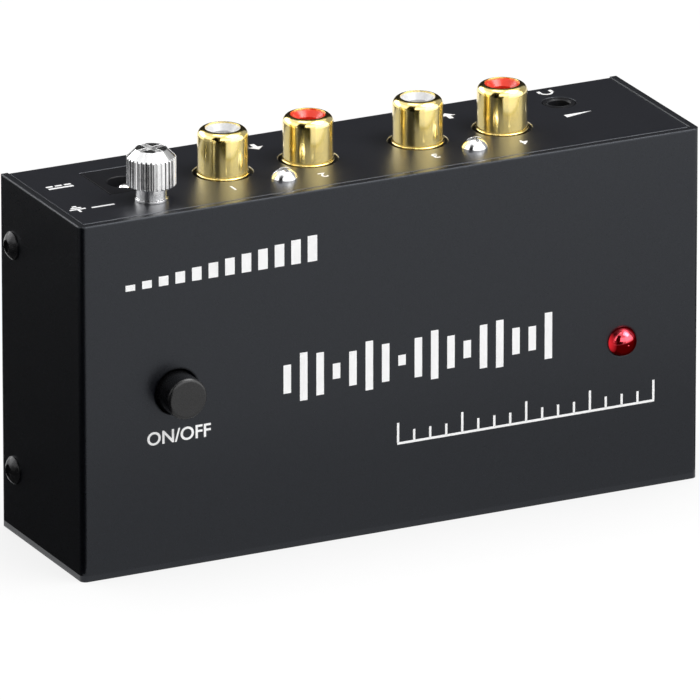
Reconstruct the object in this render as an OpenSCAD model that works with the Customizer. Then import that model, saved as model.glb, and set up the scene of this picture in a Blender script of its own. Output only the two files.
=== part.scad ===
// Phono preamp in a folded steel box that stands on its long narrow side.
// Origin: centre of the bottom face. X runs along the box, the printed face looks along -Y
// and the jack panel looks up along +Z. Millimetres.

/* [Box] */
// Length of the box
box_l = 111.4; // [109:0.1:125]
// Depth of the box from the printed face to the back
box_d = 29.8; // [28.8:0.1:33]
// Height of the box as it stands
box_h = 60.4; // [58.4:0.2:70]
// Thickness of the folded sheet
sheet_t = 1.2; // [1:0.1:1.4]
// Outside radius of the cover's folds
cover_fold = 1; // [0.5:0.1:1.1]
// Outside radius of the chassis's folds
chassis_fold = 0.3; // [0.2:0.1:1.1]
// Play between the cover and the chassis
shell_gap = 0.15; // [0.1:0.05:0.25]
// Gap between the jack panel's front edge and the cover
panel_gap = 0.5; // [0.2:0.1:0.8]
// Depth of the jack panel below the rim of the cover
panel_sink = 0.1; // [0.05:0.05:0.5]
// Radius of a rubber foot
foot_r = 4.5; // [3.5:0.5:6]
// Height of a rubber foot
foot_h = 1.8; // [1:0.2:3]
// Distance from the box's edges to the middle of a foot
foot_inset = 13; // [12:0.5:15]

/* [Side screws] */
// Radius of a side screw's head
side_head_r = 2.35; // [2.2:0.05:2.8]
// Height of a side screw's head
side_head_h = 1.3; // [1:0.1:1.8]
// Width of the hexagon socket in a side screw
side_socket_w = 2; // [1.5:0.1:2.2]
// Radius of a side screw's thread
side_shank_r = 1.45; // [1.2:0.05:1.6]
// Length of a side screw's thread
side_shank_l = 5; // [4:0.5:5.5]
// Distance from the back of the box to the side screws
side_screw_inset = 4.2; // [4:0.1:5.6]
// Height of the lower side screws
side_screw_low = 11; // [9:0.5:15]
// Height of the upper side screws
side_screw_high = 49.5; // [44:0.5:51]
// Width of a chassis tab
tab_w = 9; // [8:0.5:12]
// Depth of a chassis tab
tab_d = 7.6; // [7:0.2:9]

/* [Circuit board] */
// Thickness of the circuit board
board_t = 1.6; // [1.2:0.2:2]
// Height of the standoffs behind the board
standoff_h = 2.5; // [2:0.1:3]
// Radius of a standoff
standoff_r = 2.5; // [2.2:0.1:2.6]
// Distance from the board's edges to its screws
board_screw_inset = 2.9; // [2.8:0.1:3]
// Radius of a board screw's head
board_head_r = 2.3; // [2:0.1:2.4]
// Radius of a board screw's thread
board_shank_r = 1.2; // [1:0.1:1.3]
// Gap between the board and the ends of the side screws
board_side_gap = 0.7; // [0.5:0.1:1]
// Gap between the board's edge and the sheet above and below it
board_edge_gap = 1.2; // [0.8:0.1:1.6]
// Length of the solder pins behind the board
pin_out = 1; // [0.6:0.1:1.4]

/* [RCA jacks] */
// Middle of the input pair along the box
input_x = -15.45; // [-16:0.05:-14]
// Middle of the output pair along the box
output_x = 19.65; // [18:0.05:20]
// Distance between the two jacks of a pair
rca_pitch = 15.3; // [14:0.1:15.6]
// Height of the jack axis above the board
rca_axis_h = 9.4; // [9:0.1:10]
// Outside radius of a jack's shell
rca_r = 4.15; // [4:0.05:4.25]
// Inside radius of a jack's shell
rca_in_r = 2.9; // [2.8:0.05:3.1]
// Height of a shell above the jack panel
rca_h = 7.55; // [7:0.05:9]
// Depth of the insulator below the shell's rim
insulator_sink = 0.2; // [0.1:0.1:1]
// Radius of the funnel in the insulator's face
funnel_r = 2.5; // [2.2:0.1:2.7]
// Depth of the funnel
funnel_h = 0.9; // [0.6:0.1:1.5]
// Radius of the bore for the plug's centre pin
centre_bore_r = 1.65; // [1.62:0.01:1.7]
// Radius of the panel's holes for the shells
rca_hole_r = 5; // [4.7:0.1:5.2]
// Depth of a jack block below the panel
block_h = 10.5; // [10:0.5:12]
// Height of a jack block above the board
block_d = 19.2; // [18.8:0.1:19.8]
// Plastic beside the jacks at each end of a block
block_side = 5.2; // [5:0.1:5.6]
// Distance from the jack axis to the block's screw
block_screw_y = 7.3; // [7:0.1:7.6]
// Shift of the input block's screw from the middle of its jacks
input_screw_shift = -0.2; // [-1:0.1:1]
// Shift of the output block's screw from the middle of its jacks
output_screw_shift = -1; // [-1.2:0.1:1]
// Radius of a panel screw's head
panel_head_r = 2.17; // [1.9:0.05:2.4]
// Height of a panel screw's head
panel_head_h = 1.8; // [1.4:0.1:2]
// Length of a panel screw's thread
panel_shank_l = 7; // [5:0.5:8]

/* [DC inlet] */
// Distance from the box's left end to the DC inlet
dc_from_end = 16.3; // [16:0.1:16.7]
// Height of the DC inlet's axis above the board
dc_axis_h = 6.8; // [6.6:0.1:7.2]
// Width of the DC inlet
dc_w = 9.3; // [9:0.1:9.4]
// Height of the DC inlet above the board
dc_d = 11.4; // [11:0.1:11.6]
// Depth of the DC inlet from its face
dc_h = 14.2; // [13:0.2:15]
// Radius of the DC inlet's bore
dc_bore_r = 2.85; // [2.8:0.05:3.1]
// Depth of the DC inlet's bore
dc_bore_h = 10; // [9:0.2:11]
// Radius of the DC inlet's centre pin
dc_pin_r = 1.2; // [0.95:0.05:1.25]
// Depth of the centre pin's tip below the inlet's face
dc_pin_sink = 0.35; // [0.2:0.05:1.5]
// Gap between the DC inlet and its cut-out
dc_cut_gap = 0.2; // [0.15:0.05:0.3]

/* [Headphone jack] */
// Distance from the box's right end to the headphone jack
phone_from_end = 14.5; // [14.1:0.1:15.5]
// Height of the headphone jack's axis above the board
phone_axis_h = 2.5; // [2.4:0.1:2.8]
// Width of the headphone jack
phone_w = 6; // [5.6:0.1:6.2]
// Height of the headphone jack above the board
phone_d = 5; // [4.8:0.1:5.4]
// Depth of the headphone jack below the panel
phone_h = 14; // [13:0.5:15]
// Radius of the jack's nose in the panel
phone_nose_r = 2.65; // [2.5:0.05:2.8]
// Radius of the headphone jack's bore
phone_bore_r = 1.8; // [1.77:0.01:1.85]
// Gap between the jack's nose and its hole
phone_hole_gap = 0.2; // [0.1:0.05:0.3]

/* [Ground terminal] */
// Distance from the box's left end to the ground screw
ground_from_end = 16.4; // [15:0.1:17.5]
// Distance from the DC inlet's edge to the ground screw
ground_gap = 5.2; // [5:0.1:5.6]
// Radius of the knurled head
knob_r = 4.02; // [3.8:0.02:4.2]
// Height of the knurled band
knob_band_h = 4.6; // [4:0.1:6]
// Height of the chamfer above the band
knob_chamfer_h = 1.5; // [0.8:0.1:1.6]
// Radius of the flat top
knob_top_r = 2.55; // [2.4:0.05:3.2]
// Number of ridges round the head
knob_ridges = 32; // [24:2:40]
// Radius of the neck under the head
neck_r = 2.5; // [2.3:0.1:2.7]
// Height of the neck
neck_h = 2.1; // [1.6:0.1:3]
// Radius of the screw's thread
ground_shank_r = 1.45; // [1.2:0.05:1.5]
// Length of the screw's thread below the neck
ground_shank_l = 9; // [8:0.5:10]
// Radius of the washer
washer_r = 2.7; // [2.6:0.02:3]
// Thickness of the washer
washer_t = 0.4; // [0.3:0.1:0.6]
// Radius of the ground nut's bore
ground_nut_bore_r = 1.52; // [1.5:0.01:1.55]
// Width of the nut across its flats
ground_nut_af = 6; // [5.5:0.1:6.4]
// Height of the nut's hexagon
ground_nut_h = 4; // [3:0.2:4.6]
// Radius of the ground wire
wire_r = 0.6; // [0.4:0.1:0.8]

/* [Power switch] */
// Distance from the box's left end to the power button
button_from_end = 17; // [15.7:0.1:17.3]
// Height of the power button
button_z = 30; // [28:0.1:33]
// Radius of the power button
button_r = 3.5; // [3:0.1:3.6]
// How far the button stands out
button_out = 4.2; // [4.2:0.1:5]
// Rounding of the button's rim
button_round = 0.6; // [0.3:0.1:1]
// Radius of the button's hole in the cover
button_hole_r = 3.9; // [3.9:0.05:4.2]
// How far the button travels
button_travel = 3; // [2:0.1:3.2]
// Width of the switch
switch_w = 8.4; // [8:0.1:9]
// Height of the switch above the board
switch_d = 12.5; // [12:0.1:13]
// Wall of the switch
switch_wall = 1; // [0.8:0.1:1.2]
// Width of the plunger's stem
stem_w = 3; // [2.6:0.1:3.2]
// Radius of the spring's coil to the middle of its wire
spring_r = 1.9; // [1.6:0.1:2]
// Radius of the spring's wire
spring_wire_r = 0.2; // [0.15:0.05:0.25]

/* [Indicator lamp] */
// Distance from the box's right end to the lamp
lamp_from_end = 14; // [13:0.1:17.5]
// Height of the lamp
lamp_z = 25.9; // [22:0.1:34]
// Radius of the lamp
lamp_r = 2.4; // [1.5:0.05:2.5]
// How far the lamp's dome stands out
lamp_out = 2.3; // [1.4:0.1:3]
// Length of the lamp without its flange
lamp_l = 7.6; // [7:0.1:8.4]
// Gap between the lamp and its hole
lamp_gap = 0.1; // [0.05:0.05:0.2]

/* [Board parts] */
// Radius of a large capacitor
large_cap_r = 4; // [3:0.1:4.4]
// Height of a large capacitor
large_cap_h = 11.5; // [9:0.5:14]
// Radius of a small capacitor
small_cap_r = 2.5; // [2:0.1:3]
// Height of a small capacitor
small_cap_h = 11; // [7:0.5:13]
// Length of a film capacitor
film_cap_l = 7.2; // [6.6:0.1:8]
// Height of a film capacitor
film_cap_h = 7.5; // [6:0.5:10]
// Thickness of a film capacitor
film_cap_t = 3.5; // [2.5:0.1:4]
// Length of an amplifier chip
chip_l = 9.4; // [9.2:0.1:10]
// Width of an amplifier chip
chip_w = 6.3; // [6:0.1:6.6]
// Thickness of an amplifier chip
chip_t = 3.3; // [3:0.1:4]
// Radius of a resistor's body
resistor_r = 1.1; // [0.8:0.1:1.3]
// Length of a resistor's body
resistor_l = 6.3; // [5:0.1:7]
// Distance between a resistor's pins
resistor_pitch = 10; // [9:0.1:10.6]

/* [Hidden] */
$fn = 64;

// Clearances that every fit shares
seat_gap = 0.05;
fit_gap = 0.03;
thread_gap = 0.05;
hole_gap = 0.25;
cut = 1;

// Faces of the case
fold_in = 0.2;
front_y = -box_d / 2;
back_y = box_d / 2;
inner_front_y = front_y + sheet_t;
inner_back_y = back_y - sheet_t;
foot_taper = 0.5;
chassis_l = box_l - 2 * (sheet_t + shell_gap);
panel_top = box_h - panel_sink;
panel_low = panel_top - sheet_t;
side_screw_y = back_y - side_screw_inset;
side_screw_zs = [side_screw_low, side_screw_high];

// The board and its corners
board_y = inner_back_y - standoff_h - board_t;
board_back_y = board_y + board_t;
pin_end_y = board_back_y + pin_out;
board_l = box_l - 2 * (side_shank_l + board_side_gap);
board_low = sheet_t + board_edge_gap;
board_high = panel_low - board_edge_gap;
standoff_xs = [board_screw_inset - board_l / 2, board_l / 2 - board_screw_inset];
standoff_zs = [board_low + board_screw_inset, board_high - board_screw_inset];
standoff_foot_r = standoff_r - 0.5;
standoff_end_t = 0.5;
board_head_h = 1.5;
pin_r = 0.3;
pin_hole_r = 0.45;

// The RCA jacks
shell_depth = 6;
collar_step = 0.2;
contact_wall = 0.5;
contact_drop = 2.8;
insulator_face_t = 4.5;
rca_y = board_y - rca_axis_h;
rca_top = panel_top + rca_h;
rca_seat = panel_low - shell_depth;
rca_collar_r = rca_r + collar_step;
insulator_r = rca_in_r - fit_gap;
insulator_top = rca_top - insulator_sink;
contact_r = centre_bore_r + contact_wall;
contact_room_r = contact_r + fit_gap;
contact_low = rca_seat - contact_drop;
contact_high = insulator_top - insulator_face_t;
block_w = rca_pitch + 2 * block_side;
block_screw_r = 1.1;
tail_w = 1.2;
tail_t = 0.6;
tail_gap = 0.1;
ground_tail_w = 2;
input_left_x = input_x - rca_pitch / 2;
input_right_x = input_x + rca_pitch / 2;
output_left_x = output_x - rca_pitch / 2;
output_right_x = output_x + rca_pitch / 2;
rca_xs = [input_left_x, input_right_x, output_left_x, output_right_x];
panel_screw_xs = [input_x + input_screw_shift, output_x + output_screw_shift];
panel_screw_y = rca_y - block_screw_y;

// The DC inlet
dc_floor_t = 1;
dc_root_w = 1.3;
dc_tail_w = 2;
dc_spring_t = 0.4;
dc_spring_w = 3;
dc_spring_play = 0.2;
dc_spring_rise = 5;
dc_spring_sink = 3.3;
dc_slot_back = 1;
dc_x = dc_from_end - box_l / 2;
dc_y = board_y - dc_axis_h;
dc_low = panel_top - dc_h;
dc_bore_low = panel_top - dc_bore_h;
dc_mouth = 0.12;
dc_pin_low = dc_low + dc_floor_t;
dc_pin_top = panel_top - dc_pin_sink;
dc_spring_low = dc_low + dc_spring_rise;
dc_spring_high = panel_top - dc_spring_sink;
dc_spring_y = dc_y + dc_bore_r + dc_spring_play;

// The headphone jack
phone_floor_t = 1;
phone_wall_h = 5;
phone_mouth = 0.25;
phone_room_w = 4.6;
phone_room_d = 4;
phone_leaf_t = 0.3;
phone_leaf_d = 2;
phone_tail_w = 0.8;
phone_tail_x = 1.6;
phone_tail_rise = 1.8;
phone_x = box_l / 2 - phone_from_end;
phone_y = board_y - phone_axis_h;
phone_low = panel_low - phone_h;
phone_room_low = phone_low + phone_floor_t;
phone_wall_low = panel_low - phone_wall_h;
phone_tail_low = phone_low + phone_tail_rise;

// The ground terminal
nut_wall = 0.7;
lug_ring_w = 1.2;
lug_tail_w = 2.2;
lug_end = 1.3;
knob_foot = 0.25;
wire_drop = 3;
washer_play = 0.15;
recess_turn = 12;
ground_x = ground_from_end - box_l / 2;
ground_y = board_y - dc_d - ground_gap;
washer_low = panel_top + seat_gap;
neck_low = washer_low + washer_t + seat_gap;
band_low = neck_low + neck_h;
band_high = band_low + knob_band_h;
knob_top = band_high + knob_chamfer_h;
ridge_depth = 0.22;
recess_arm_w = 1.1;
recess_arm_l = 2 * knob_top_r - 0.2;
recess_h = 1.3;
nut_sleeve_r = ground_nut_bore_r + nut_wall;
lug_t = 0.5;
nut_top = panel_low - lug_t;
nut_low = nut_top - ground_nut_h;
lug_r = nut_sleeve_r + lug_ring_w;
lug_tail_l = 5.8;
wire_x = ground_x - lug_tail_l;
wire_bend_r = 3;
wire_end_z = dc_low - wire_drop;

// The power switch
button_x = button_from_end - box_l / 2;
button_face_y = front_y - button_out;
switch_top_y = board_y - switch_d;
stem_gap = 0.3;
flange_w = switch_w - 2 * switch_wall - 2 * stem_gap;
flange_t = 2;
flange_y = switch_top_y + switch_wall + stem_gap;
button_low_y = switch_top_y - button_travel - 1;
socket_depth = 4;
stem_end_y = button_low_y - socket_depth;
spring_turns = 5;
spring_start_y = flange_y + flange_t + spring_wire_r + seat_gap;
switch_base_t = 1.2;
spring_end_y = board_y - switch_base_t - spring_wire_r - seat_gap;
terminal_pitch = 2.2;

// The lamp
lamp_x = box_l / 2 - lamp_from_end;
lamp_tip_y = front_y - lamp_out;
lamp_base_y = lamp_tip_y + lamp_l;
lamp_flange_r = lamp_r + 0.45;
lamp_flange_t = 1;
lamp_lead_x = 1.27;
lamp_lead_r = 0.25;

// Places of the board's parts, as [x, z]
regulator_shift = 0.8;
large_cap_at = [[-24, 12], [-14, 12], [-24, 23]];
small_cap_at = [[27, 12], [34, 12], [27, 39], [34, 39]];
film_cap_at = [[-16, 40], [-6, 40], [6, 40], [16, 40]];
chip_at = [[-11, 29], [3, 29], [17, 29]];
resistor_at = [[-2, 21], [-2, 17.5], [-2, 14], [-2, 10.5], [12, 21], [12, 17.5], [12, 14], [12, 10.5]];
regulator_at = [dc_x - regulator_shift, 14];
choke_at = [-25, 38];
diode_at = [[dc_x - regulator_shift, 20.5]];
large_cap_pitch = 3.5;
small_cap_pitch = 2;
film_cap_pitch = 5;
chip_pin_pitch = 2.54;
chip_row_x = [-1.5, -0.5, 0.5, 1.5];
chip_row_z = 3.81;
regulator_pin_pitch = 2.54;
choke_pitch = 5;

// Sizes of the board's parts that repeat inside a part
chip_stand = 0.6;
axial_stand = 0.2;
diode_l = 5.3;
diode_r = 1.3;
groove_low = 1.5;
groove_h = 1;
groove_depth = 0.35;
regulator_w = 10;
regulator_t = 3.2;
regulator_h = 9;
regulator_stand = 3;
tab_h = 15;
tab_t = 1.3;
choke_r = 4;
choke_waist_r = 3.4;
choke_h = 8;
cheek_t = 1.2;
joint_lap = 0.1;

// The two pins of a part that stands on the board, each as [x, z]
function pin_pair(at, pitch) = [for (p = at, side = [-1, 1]) [p[0] + side * pitch / 2, p[1]]];
chip_pins = [
  for (p = chip_at, k = chip_row_x, side = [-1, 1]) [p[0] + k * chip_pin_pitch, p[1] + side * chip_row_z]
];
regulator_pins = [for (k = [-1, 0, 1]) [regulator_at[0] + k * regulator_pin_pitch, regulator_at[1]]];
small_pins = concat(
  pin_pair(large_cap_at, large_cap_pitch),
  pin_pair(small_cap_at, small_cap_pitch),
  pin_pair(film_cap_at, film_cap_pitch),
  pin_pair(resistor_at, resistor_pitch),
  pin_pair(diode_at, resistor_pitch),
  pin_pair([choke_at], choke_pitch),
  chip_pins,
  regulator_pins
);

// Cylinder along Y from y0 to y1
module y_rod(x, z, y0, y1, r) {
  translate([x, y1, z]) rotate([90, 0, 0]) cylinder(r = r, h = y1 - y0);
}

// Cylinder along Z from z0 to z1
module z_rod(x, y, z0, z1, r) {
  translate([x, y, z0]) cylinder(r = r, h = z1 - z0);
}

// Block between two opposite corners
module span(low, high) {
  translate(low) cube(high - low);
}

// Square bar of width w along Z from z0 to z1
module square_bar(x, y, z0, z1, w) {
  span([x - w / 2, y - w / 2, z0], [x + w / 2, y + w / 2, z1]);
}

// Outline l wide from y = 0 to y = d, with its two corners at y = 0 rounded
module rounded_end(l, d, r) {
  translate([r - l / 2, 0]) square([l - 2 * r, d]);
  translate([-l / 2, r]) square([l, d - r]);
  for (side = [-1, 1]) translate([side * (l / 2 - r), r]) circle(r = r);
}

// Low dome of radius r and height h on the plane z = 0
module dome(r, h) {
  rim = 0.25;
  ball_r = (r * r + (h - rim) * (h - rim)) / (2 * (h - rim));
  cylinder(r = r, h = rim);
  intersection() {
    translate([0, 0, h - ball_r]) sphere(r = ball_r);
    cylinder(r = r, h = h);
  }
}

// Screw on the plane z = 0, with its thread along -Z. Its head has a hexagon socket where
// socket_w is given, and a cross recess otherwise.
module dome_screw(head_r, head_h, shank_r, shank_l, socket_w = 0) {
  arm_w = head_r * 0.26;
  arm_l = head_r * 1.2;
  difference() {
    dome(head_r, head_h);
    translate([0, 0, head_h * 0.4]) {
      if (socket_w > 0) {
        cylinder(r = socket_w / 2 / cos(30), h = head_h, $fn = 6);
      } else {
        for (turn = [0, 90]) {
          rotate([0, 0, turn]) translate([-arm_l / 2, -arm_w / 2, 0]) cube([arm_l, arm_w, head_h]);
        }
      }
    }
  }
  translate([0, 0, -shank_l]) cylinder(r = shank_r, h = shank_l + joint_lap);
}

module cover() {
  color("#36373b") difference() {
    translate([0, front_y, 0]) linear_extrude(box_h) difference() {
      rounded_end(box_l, box_d, cover_fold);
      translate([0, sheet_t]) rounded_end(box_l - 2 * sheet_t, box_d, fold_in);
    }
    y_rod(button_x, button_z, front_y - cut, inner_front_y + cut, button_hole_r);
    y_rod(lamp_x, lamp_z, front_y - cut, inner_front_y + cut, lamp_r + lamp_gap);
    for (side = [-1, 1], z = side_screw_zs) {
      translate([side * box_l / 2, side_screw_y, z]) rotate([0, side * 90, 0])
        translate([0, 0, -sheet_t - cut]) cylinder(r = side_shank_r + hole_gap, h = sheet_t + 2 * cut);
    }
  }
}

// Side view of the chassis: jack panel, back and bottom
module chassis_outline() {
  depth = back_y - inner_front_y - panel_gap;
  translate([back_y, panel_top / 2]) rotate(90) difference() {
    rounded_end(panel_top, depth, chassis_fold);
    translate([0, sheet_t]) rounded_end(panel_top - 2 * sheet_t, depth, fold_in);
  }
}

module chassis() {
  color("#26272b") difference() {
    union() {
      translate([-chassis_l / 2, 0, 0]) rotate([90, 0, 90]) linear_extrude(chassis_l) chassis_outline();
      for (side = [-1, 1], z = side_screw_zs) {
        translate([side * (chassis_l - sheet_t) / 2, inner_back_y - tab_d / 2 + fold_in / 2, z])
          cube([sheet_t, tab_d + fold_in, tab_w], center = true);
      }
    }
    for (side = [-1, 1], z = side_screw_zs) {
      translate([side * box_l / 2, side_screw_y, z]) rotate([0, side * 90, 0])
        translate([0, 0, -side_shank_l]) cylinder(r = side_shank_r + thread_gap, h = side_shank_l);
    }
    for (x = rca_xs) z_rod(x, rca_y, panel_low - cut, panel_top + cut, rca_hole_r);
    for (x = panel_screw_xs) {
      z_rod(x, panel_screw_y, panel_low - cut, panel_top + cut, block_screw_r + hole_gap);
    }
    span([dc_x - dc_w / 2 - dc_cut_gap, board_y - dc_d - dc_cut_gap, panel_low - cut],
         [dc_x + dc_w / 2 + dc_cut_gap, board_y + dc_cut_gap, panel_top + cut]);
    z_rod(phone_x, phone_y, panel_low - cut, panel_top + cut, phone_nose_r + phone_hole_gap);
    z_rod(ground_x, ground_y, panel_low - cut, panel_top + cut, nut_sleeve_r + fit_gap);
    for (x = standoff_xs, z = standoff_zs) {
      y_rod(x, z, inner_back_y - cut, back_y + cut, standoff_foot_r + fit_gap);
    }
  }
}

module side_screws() {
  color("#141416") for (side = [-1, 1], z = side_screw_zs) {
    translate([side * box_l / 2, side_screw_y, z]) rotate([0, side * 90, 0])
      dome_screw(side_head_r, side_head_h, side_shank_r, side_shank_l, side_socket_w);
  }
}

module rubber_feet() {
  color("#1b1b1b") for (side = [-1, 1], z = [foot_inset, box_h - foot_inset]) {
    translate([side * (box_l / 2 - foot_inset), back_y, z]) rotate([-90, 0, 0])
      cylinder(r1 = foot_r, r2 = foot_r - foot_taper, h = foot_h);
  }
}

module standoffs() {
  color("silver") for (x = standoff_xs, z = standoff_zs) {
    difference() {
      union() {
        y_rod(x, z, board_back_y, inner_back_y, standoff_r);
        y_rod(x, z, board_back_y, back_y, standoff_foot_r);
      }
      y_rod(x, z, board_back_y - cut, back_y - standoff_end_t, board_shank_r + thread_gap);
    }
  }
}

module circuit_board() {
  color("#1d5c35") difference() {
    span([-board_l / 2, board_y, board_low], [board_l / 2, board_back_y, board_high]);
    for (x = standoff_xs, z = standoff_zs) {
      y_rod(x, z, board_y - cut, board_back_y + cut, board_shank_r + hole_gap);
    }
    for (p = small_pins) y_rod(p[0], p[1], board_y - cut, board_back_y + cut, pin_hole_r);
    for (x = rca_xs) {
      tail_slot(x, contact_low, tail_w, board_y - cut, board_back_y + cut);
      tail_slot(x, rca_seat, ground_tail_w, board_y - cut, board_back_y + cut);
    }
    tail_slot(dc_x, dc_pin_low, dc_tail_w, board_y - cut, board_back_y + cut);
    tail_slot(dc_x, dc_spring_low, dc_spring_w, board_y - cut, board_back_y + cut);
    for (side = [-1, 1]) {
      tail_slot(phone_x + side * phone_tail_x, phone_tail_low, phone_tail_w, board_y - cut,
                board_back_y + cut);
      y_rod(lamp_x + side * lamp_lead_x, lamp_z, board_y - cut, board_back_y + cut, pin_hole_r);
    }
    for (side = [-1, 1], k = [-1, 0, 1]) {
      y_rod(button_x + side * terminal_pitch, button_z + k * terminal_pitch, board_y - cut,
            board_back_y + cut, pin_hole_r);
    }
    y_rod(wire_x, wire_end_z, board_y - cut, board_back_y + cut, wire_r + tail_gap);
  }
}

// Slot round a flat solder tail that runs along Y
module tail_slot(x, z, w, y0, y1) {
  span([x - w / 2 - tail_gap, y0, z - tail_gap], [x + w / 2 + tail_gap, y1, z + tail_t + tail_gap]);
}

module board_screws() {
  color("silver") for (x = standoff_xs, z = standoff_zs) {
    translate([x, board_y, z]) rotate([90, 0, 0])
      dome_screw(board_head_r, board_head_h, board_shank_r, board_t + standoff_h);
  }
}

// Plastic block that holds one pair of RCA jacks
module jack_block(middle_x, screw_x) {
  color("#17181a") difference() {
    span([middle_x - block_w / 2, board_y - block_d, panel_low - block_h],
         [middle_x + block_w / 2, board_y, panel_low]);
    for (side = [-1, 1]) {
      x = middle_x + side * rca_pitch / 2;
      z_rod(x, rca_y, rca_seat, panel_low + cut, rca_collar_r + fit_gap);
      z_rod(x, rca_y, contact_low - fit_gap, panel_low + cut, contact_room_r);
      tail_slot(x, contact_low, tail_w, rca_y, board_y + cut);
      tail_slot(x, rca_seat, ground_tail_w, rca_y, board_y + cut);
    }
    z_rod(screw_x, panel_screw_y, panel_low - panel_shank_l, panel_low + cut, block_screw_r + thread_gap);
  }
}

module panel_screws() {
  color("#d5d7da") for (x = panel_screw_xs) {
    translate([x, panel_screw_y, panel_top])
      dome_screw(panel_head_r, panel_head_h, block_screw_r, panel_shank_l);
  }
}

// Outer contact of a jack, with its rounded rim and its solder tail
module rca_shell(x) {
  wall = rca_r - rca_in_r;
  color("#d9b24a") {
    translate([x, rca_y, 0]) rotate_extrude() {
      translate([rca_in_r, rca_seat]) square([wall, rca_top - wall - rca_seat]);
      translate([rca_in_r, rca_seat]) square([rca_collar_r - rca_in_r, panel_low - rca_seat]);
      intersection() {
        translate([rca_in_r, rca_top - wall]) circle(r = wall);
        translate([rca_in_r, rca_top - wall]) square([wall, wall]);
      }
    }
    span([x - ground_tail_w / 2, rca_y + rca_in_r + wall / 2, rca_seat],
         [x + ground_tail_w / 2, pin_end_y, rca_seat + tail_t]);
  }
}

module rca_insulator(x, tint) {
  color(tint) translate([x, rca_y, 0]) difference() {
    translate([0, 0, rca_seat]) cylinder(r = insulator_r, h = insulator_top - rca_seat);
    translate([0, 0, rca_seat - cut])
      cylinder(r = contact_room_r, h = contact_high + fit_gap - rca_seat + cut);
    translate([0, 0, rca_seat]) cylinder(r = centre_bore_r, h = insulator_top);
    translate([0, 0, insulator_top - funnel_h])
      cylinder(r1 = centre_bore_r, r2 = 2 * funnel_r - centre_bore_r, h = 2 * funnel_h);
  }
}

// Tube that grips the plug's centre pin, with its solder tail
module rca_contact(x) {
  color("#c9b37a") {
    translate([x, rca_y, contact_low]) difference() {
      cylinder(r = contact_r, h = contact_high - contact_low);
      translate([0, 0, tail_t]) cylinder(r = centre_bore_r, h = contact_high);
    }
    span([x - tail_w / 2, rca_y + centre_bore_r, contact_low],
         [x + tail_w / 2, pin_end_y, contact_low + tail_t]);
  }
}

module dc_inlet_body() {
  color("#121315") difference() {
    span([dc_x - dc_w / 2, board_y - dc_d, dc_low], [dc_x + dc_w / 2, board_y, panel_top]);
    z_rod(dc_x, dc_y, dc_bore_low, panel_top + cut, dc_bore_r);
    translate([dc_x, dc_y, panel_top - dc_mouth])
      cylinder(r1 = dc_bore_r, r2 = dc_bore_r + 2 * dc_mouth, h = 2 * dc_mouth);
    square_bar(dc_x, dc_y, dc_pin_low, dc_bore_low + cut, dc_root_w + 2 * fit_gap);
    tail_slot(dc_x, dc_pin_low, dc_tail_w, dc_y, board_y + cut);
    span([dc_x - dc_spring_w / 2 - tail_gap, dc_y, dc_spring_low - tail_gap],
         [dc_x + dc_spring_w / 2 + tail_gap, board_y - dc_slot_back, dc_spring_high + dc_spring_play]);
    tail_slot(dc_x, dc_spring_low, dc_spring_w, dc_y, board_y + cut);
  }
}

module dc_inlet_pin() {
  color("#c9ccd0") {
    square_bar(dc_x, dc_y, dc_pin_low, dc_bore_low, dc_root_w);
    z_rod(dc_x, dc_y, dc_bore_low, dc_pin_top - dc_pin_r, dc_pin_r);
    translate([dc_x, dc_y, dc_pin_top - dc_pin_r]) sphere(r = dc_pin_r);
    span([dc_x - dc_tail_w / 2, dc_y, dc_pin_low], [dc_x + dc_tail_w / 2, pin_end_y, dc_pin_low + tail_t]);
  }
}

// Leaf that presses on the outside of the DC plug
module dc_inlet_spring() {
  left_x = dc_x - dc_spring_w / 2;
  right_x = dc_x + dc_spring_w / 2;
  color("#c9ccd0") {
    span([left_x, dc_spring_y, dc_spring_low], [right_x, dc_spring_y + dc_spring_t, dc_spring_high]);
    span([left_x, dc_spring_y, dc_spring_low], [right_x, pin_end_y, dc_spring_low + tail_t]);
  }
}

module headphone_jack_body() {
  color("#141517") difference() {
    union() {
      span([phone_x - phone_w / 2, board_y - phone_d, phone_low],
           [phone_x + phone_w / 2, board_y, panel_low]);
      z_rod(phone_x, phone_y, panel_low - cut / 2, panel_top, phone_nose_r);
    }
    z_rod(phone_x, phone_y, phone_room_low, panel_top + cut, phone_bore_r);
    translate([phone_x, phone_y, panel_top - phone_mouth])
      cylinder(r1 = phone_bore_r, r2 = phone_bore_r + 2 * phone_mouth, h = 2 * phone_mouth);
    span([phone_x - phone_room_w / 2, phone_y - phone_room_d / 2, phone_room_low],
         [phone_x + phone_room_w / 2, phone_y + phone_room_d / 2, phone_wall_low]);
    for (side = [-1, 1]) {
      tail_slot(phone_x + side * phone_tail_x, phone_tail_low, phone_tail_w, phone_y, board_y + cut);
    }
  }
}

// Two leaves that press on the headphone plug from both sides
module headphone_jack_contacts() {
  leaf_x = phone_room_w / 2 - seat_gap;
  color("#c9b37a") for (side = [0, 1]) translate([phone_x, 0, 0]) mirror([side, 0, 0]) {
    span([leaf_x - phone_leaf_t, phone_y - phone_leaf_d / 2, phone_tail_low],
         [leaf_x, phone_y + phone_leaf_d / 2, phone_wall_low - seat_gap]);
    span([phone_tail_x - phone_tail_w / 2, phone_y, phone_tail_low],
         [leaf_x, phone_y + phone_leaf_d / 2, phone_tail_low + tail_t]);
    span([phone_tail_x - phone_tail_w / 2, phone_y, phone_tail_low],
         [phone_tail_x + phone_tail_w / 2, pin_end_y, phone_tail_low + tail_t]);
  }
}

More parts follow.
